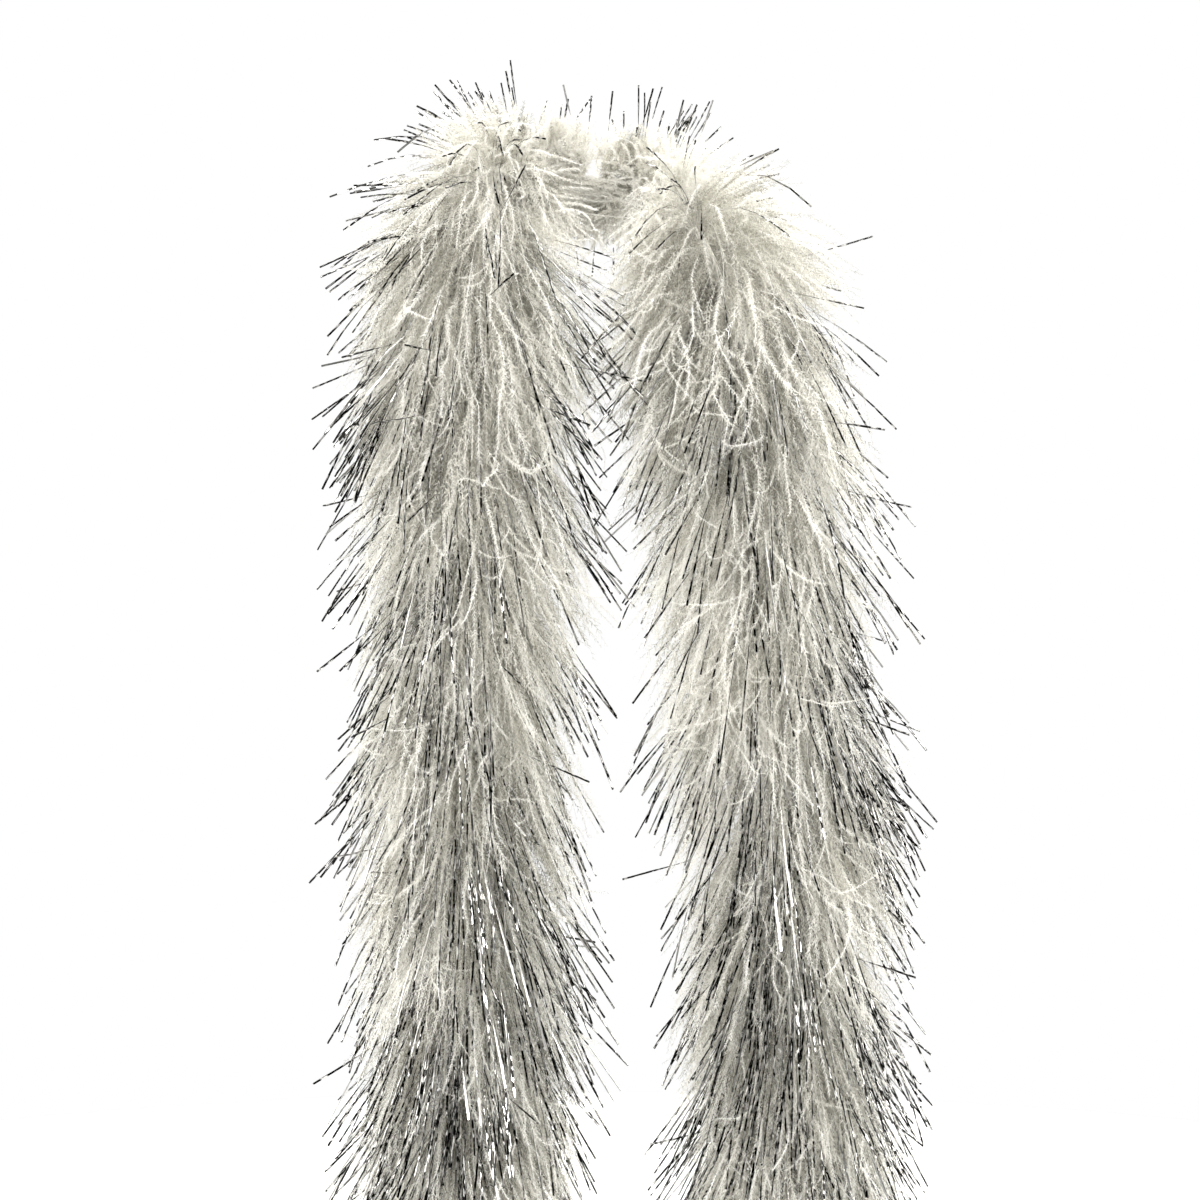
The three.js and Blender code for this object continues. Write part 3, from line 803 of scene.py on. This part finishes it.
def flue_of(side, sign, span, s0, s1, ply, seed):
    rng = np.random.default_rng(seed)
    s = along_cord(rng, s0, s1, DENSITY)
    s = s[s > (s0 + 0.006 if s0 > 0.1 else s0)]  # clear of the thread binding above
    n = len(s)
    collar = np.interp(s, [0.03, 0.20], [1, 0])  # 1 at the nape, 0 down the tails

    # wisps: strands that grow side by side cling together
    wisp = np.floor(s / 0.014 + rng.normal(0, 0.30, n)).astype(int)
    wisp = (wisp - wisp.min()) * 2 + rng.integers(0, 2, n)
    g = wisp.max() + 1

    def per_wisp(mean, sd):
        return rng.normal(mean, sd, g)[wisp]

    w_turn = rng.uniform(-0.30 * math.pi, 0.30 * math.pi, g)[wisp]
    w_swing, w_tilt = per_wisp(0, math.radians(11)), per_wisp(0, math.radians(10))
    w_long, w_end, w_tone, w_bend = per_wisp(1.0, 0.13), per_wisp(0, math.radians(6)), per_wisp(0, 0.20), per_wisp(0, 0.25)
    root, t, d, w = roots(rng, s, sign, 2 * math.pi * ply / PLIES, w_turn, math.radians(13))
    # the flue that lies against the wearer is thinner
    keep = rng.uniform(0, 1, n) > np.interp(d[:, 1], [0.1, 0.5], [0, 0.45]) * np.interp(s, [0.20, 0.30], [0, 1])
    s, wisp, root, t, d, w, collar = (x[keep] for x in (s, wisp, root, t, d, w, collar))
    w_swing, w_tilt, w_long, w_end, w_tone, w_bend = (x[keep] for x in (w_swing, w_tilt, w_long, w_end, w_tone, w_bend))
    n = len(s)
    swing = w_swing * (1 + collar) + rng.normal(0, math.radians(4), n)
    tilt = w_tilt * (0.3 + 1.6 * collar) + rng.normal(0, math.radians(5), n) * (0.3 + collar)
    start = np.interp(s, ANGLE_S, START) + rng.normal(0, math.radians(9), n)
    end = settled(rng, s, d, w_end + rng.normal(0, math.radians(4), n))
    end = np.maximum(end, math.radians(5))
    bend = 0.034 * np.exp(w_bend + rng.normal(0, 0.15, n))
    length = np.interp(s, LEN_S, LEN_FLUE) * w_long * np.clip(rng.normal(0.93, 0.17, n), 0.4, 1.2)
    kinds = rng.uniform(0, 1, n)
    curly = kinds > np.interp(s, [0.0, 0.35, 0.60, 0.9], [0.85, 0.88, 0.93, 0.955])
    bright = ~curly & (kinds < 0.17)  # fuller straight strands
    plain = ~curly & ~bright
    # painted shade: the plain strands, lying under the bright and curly ones, are set much darker than those, less so
    # at the nape; the rest of the spread is random tone
    tone = 0.38 + 0.20 * collar + w_tone + rng.normal(0, 0.14, n)
    tone = np.where(bright, 0.83 + rng.normal(0, 0.11, n), tone)
    tone = np.where(curly, 0.86 + rng.normal(0, 0.08, n), tone)
    start = start - np.where(curly, math.radians(24), 0)
    tone = np.clip(tone, 0.02, 0.98)
    strength = rng.uniform(0.15, 0.65, g)
    root_shade_lift = np.interp(s, [0.16, 0.32], [0.45, 0.0])  # over the shoulders less painted root shade, so the roots are as pale as the rest
    parts = []

    def add(c, steps, wave, wave_len, curl, curl_from, stretch, proud, cut, core, hairs, hair_long, hair_wide, first, pull):
        m = int(c.sum())
        if m == 0:
            return
        pts = course(
            rng, root[c], d[c], w[c], t[c], length[c] * stretch, steps, start[c], end[c], bend[c], swing[c], tilt[c],
            wave(m), wave_len(m), curl(m), curl_from,
        )
        if pull:
            pts = clump(pts, wisp[c], strength)
        pts = settle(pts, sign * s[c], proud, cut(m))
        f = np.linspace(0, 1, steps + 1)[None]
        width = core * np.interp(f, [0, 0.40, 0.65, 1.0], [0.5, 0.7, 1.0, 0.45]) * rng.uniform(0.8, 1.2, (m, 1))
        parts.append(ribbons(pts, width, rng.uniform(0, 6.28, m), rng.normal(0, 0.6, m), tone[c], root_shade_lift[c]))
        parts.append(barbules(rng, pts, hairs, rng.uniform(hair_long[0], hair_long[1], m), tone[c], hair_wide, first, root_shade_lift[c]))

    add(
        plain, 8, lambda m: rng.gamma(2.0, 0.060, m), lambda m: rng.uniform(0.05, 0.10, m),
        lambda m: rng.normal(0, 0.6, m), 0.45, 1.0, 0.0, lambda m: rng.uniform(0.72, 1.0, m),
        0.00030, 46, (0.0034, 0.0062), 0.0011, 0.12, True,
    )
    add(
        bright, 10, lambda m: rng.gamma(2.0, 0.08, m), lambda m: rng.uniform(0.05, 0.10, m),
        lambda m: rng.normal(0, 0.8, m), 0.5, 1.06, 0.002, lambda m: rng.uniform(0.85, 1.04, m),
        0.00042, 110, (0.0030, 0.0052), 0.0010, 0.38, False,
    )
    add(
        curly, 18, lambda m: rng.gamma(3.0, 0.09, m), lambda m: rng.uniform(0.045, 0.105, m),
        lambda m: rng.uniform(0.3, 2.9, m) * rng.choice([-1, 1], m), 0.40, 1.10, 0.004, lambda m: rng.uniform(0.92, 1.08, m),
        0.00045, 170, (0.0028, 0.0048), 0.0010, 0.46, False,
    )
    return mesh_piece(f"{side}_{span}_flue_{ply + 1}", parts, FLUE)


def tinsel_of(side, sign, span, s0, s1, seed):
    rng = np.random.default_rng(seed)
    s = along_cord(rng, s0, s1, TINSEL_DENSITY)
    s = s[s > (s0 + 0.006 if s0 > 0.1 else s0)]
    s = s[rng.uniform(0, 1, len(s)) < np.interp(s, [0.0, 0.03, 0.10, 0.15, 0.22, 0.36], [0.3, 0.5, 0.42, 0.6, 0.72, 1.0])]
    n = len(s)
    bunch = np.floor(s / 0.007).astype(int)
    bunch = (bunch - bunch.min()) * 2 + rng.integers(0, 2, n)
    g = bunch.max() + 1
    root, t, d, w = roots(rng, s, sign, 0.0, rng.uniform(-math.pi, math.pi, g)[bunch], math.radians(15))
    to_neck = np.zeros_like(root)
    to_neck[:, 0], to_neck[:, 1] = NECK[0] - root[:, 0], NECK[1] - root[:, 1]
    keep = ((d * unit(to_neck)).sum(1) < 0.1) | (s > 0.16)
    keep &= rng.uniform(0, 1, n) > np.interp(d[:, 0] * sign, [0.0, 0.5], [0, 0.6]) * np.interp(s, [0.10, 0.16, 0.40, 0.55], [0, 1, 1, 0])
    keep &= rng.uniform(0, 1, n) > np.interp(d[:, 1], [-0.75, -0.2, 0.2, 0.75], [0.24, 0, 0, 0.56])
    s, bunch, root, t, d, w = (x[keep] for x in (s, bunch, root, t, d, w))
    n = len(s)
    collar = np.interp(s, [0.03, 0.20], [1, 0])
    start = np.interp(s, [0.03, 0.16, 0.26], np.radians([94, 72, 58])) + rng.normal(0, math.radians(8), n)
    end = settled(rng, s, d, rng.normal(math.radians(2.5), math.radians(5), g)[bunch] + rng.normal(0, math.radians(5), n))
    swing = rng.normal(0, math.radians(11), g)[bunch] + rng.normal(0, math.radians(7), n)
    tilt = rng.normal(0, math.radians(6), n) * (1 + 2.0 * collar)
    stray = rng.uniform(0, 1, n) < 0.04
    swing[stray] += rng.normal(0, math.radians(38), stray.sum())
    end[stray] += rng.normal(math.radians(20), math.radians(20), stray.sum())
    length = np.interp(s, LEN_S, LEN_TINSEL) * np.clip(rng.normal(0.90, 0.21, n), 0.45, 1.2)
    pts = course(
        rng, root, d, w, t, length, 6, start, np.maximum(end, math.radians(4)), rng.uniform(0.030, 0.060, n),
        np.clip(swing, -1.2, 1.2), tilt,
        rng.gamma(1.5, 0.010, n), rng.uniform(0.08, 0.16, n), rng.normal(0, 0.12, n), 0.3,
    )
    pts = settle(pts, sign * s, np.interp(s, [0.08, 0.16], [0.016, 0.007]).repeat(7), rng.uniform(0.90, 1.12, n))
    whole = np.linalg.norm(np.diff(pts, axis=1), axis=2).sum(1) > 0.50 * length
    by_neck = (np.hypot(pts[..., 0] - NECK[0], pts[..., 1] - NECK[1]) < NECK_R + 0.016) & (pts[..., 2] > NECK_LOW - 0.030)
    whole &= ~by_neck[:, 2:].any(1)
    pts, n = pts[whole], int(whole.sum())
    radius = np.interp(np.linspace(0, 1, 7), [0, 0.5, 0.66, 0.83], [0.0001, 0.00015, 0.00036, 0.00082])[None] * rng.uniform(0.75, 1.10, (n, 1))
    return mesh_piece(
        f"{side}_{span}_metallic_filaments", [wires(pts, radius, np.clip(rng.uniform(0, 1, n), 0.013, 0.987))], TINSEL,
    )


def hang(ob, side, k):
    """Strands rooted on one span hang past the flex point below. Those of the lowest span go with the lower tail; the
    others stay where they are.
    """
    if k < 3:
        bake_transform(ob)
    else:
        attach(ob, f"{side}_tail_lower")


for si, (side, sign) in enumerate(SIDES):
    for k, (span, s0, s1) in enumerate(SPANS):
        for ply in range(PLIES):
            ob = flue_of(side, sign, span, s0, s1, ply, 1000 + 100 * si + 10 * k + ply)
            hang(ob, side, k)
            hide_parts(f"{side}_{span}_feather_ply_{ply + 1}")
        ob = tinsel_of(side, sign, span, s0, s1, 5000 + 100 * si + 10 * k)
        hang(ob, side, k)
        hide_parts(f"{side}_{span}_metallic_filament_ply")

# ---------------------------------------------------------------------------------------------
# floor, world and lights
# ---------------------------------------------------------------------------------------------
bpy.ops.mesh.primitive_circle_add(vertices=128, radius=1.25, fill_type="NGON", location=(0, -0.1, -0.905))
floor = bpy.context.active_object
floor.name = "floor"
fmat, fnt, fout = new_material("floor_pale")
fp = fnt.nodes.new("ShaderNodeBsdfPrincipled")
fp.inputs["Base Color"].default_value = (0.93, 0.93, 0.925, 1)
fp.inputs["Roughness"].default_value = 0.9
fp.inputs["Specular IOR Level"].default_value = 0.1
fp.inputs["Emission Color"].default_value = (1, 1, 1, 1)
fp.inputs["Emission Strength"].default_value = 0.22
fnt.links.new(fp.outputs[0], fout.inputs[0])
floor.data.materials.append(fmat)
floor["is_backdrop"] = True

world = bpy.data.worlds.new("studio")
bpy.context.scene.world = world
world.use_nodes = True
wnt = world.node_tree
wnt.nodes.clear()
wout = wnt.nodes.new("ShaderNodeOutputWorld")
show = wnt.nodes.new("ShaderNodeBackground")
show.inputs[0].default_value = (1, 1, 1, 1)
show.inputs[1].default_value = 1.0
tc = wnt.nodes.new("ShaderNodeTexCoord")
sepw = wnt.nodes.new("ShaderNodeSeparateXYZ")
wnt.links.new(tc.outputs["Generated"], sepw.inputs[0])
rampw = ramp(wnt, [
    (0.0, (0.33, 0.326, 0.316)), (0.35, (0.37, 0.365, 0.354)), (0.6, (0.62, 0.613, 0.597)), (1.0, (0.92, 0.91, 0.89)),
])
shift = wnt.nodes.new("ShaderNodeMapRange")
shift.inputs["From Min"].default_value = -1.0
shift.inputs["From Max"].default_value = 1.0
wnt.links.new(sepw.outputs[1], shift.inputs["Value"])
wnt.links.new(shift.outputs["Result"], rampw.inputs[0])
lit = wnt.nodes.new("ShaderNodeBackground")
wnt.links.new(rampw.outputs[0], lit.inputs[0])
lit.inputs[1].default_value = 1.0
path = wnt.nodes.new("ShaderNodeLightPath")
mixw = wnt.nodes.new("ShaderNodeMixShader")
wnt.links.new(path.outputs["Is Camera Ray"], mixw.inputs[0])
wnt.links.new(lit.outputs[0], mixw.inputs[1])
wnt.links.new(show.outputs[0], mixw.inputs[2])
wnt.links.new(mixw.outputs[0], wout.inputs[0])


def area(name, at, aim, size, power, colour=(1, 0.984, 0.950)):
    data = bpy.data.lights.new(name, "AREA")
    data.shape = "RECTANGLE"
    data.size, data.size_y = size
    data.energy = power
    data.color = colour
    ob = bpy.data.objects.new(name, data)
    bpy.context.scene.collection.objects.link(ob)
    ob.location = at
    ob.rotation_mode = "QUATERNION"
    ob.rotation_quaternion = (Vector(aim) - Vector(at)).to_track_quat("-Z", "Y")
    ob.visible_camera = False
    return ob


MIDDLE = (0.02, -0.15, -0.38)
area("key", (-1.5, -1.9, 0.9), MIDDLE, (1.1, 1.1), 64)
area("fill", (1.7, -1.6, 0.3), MIDDLE, (0.9, 1.3), 40)
area("top", (0.0, -0.2, 1.7), MIDDLE, (1.6, 1.6), 34)
area("rim_left", (-1.9, 0.9, 0.1), MIDDLE, (0.9, 1.8), 34)
area("rim_right", (1.9, 0.9, 0.1), MIDDLE, (0.9, 1.8), 38)

scene = bpy.context.scene
scene.view_settings.view_transform = "Standard"
scene.view_settings.look = "None"
scene.view_settings.exposure = 0.0
scene.view_settings.gamma = 1.0

low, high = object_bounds()
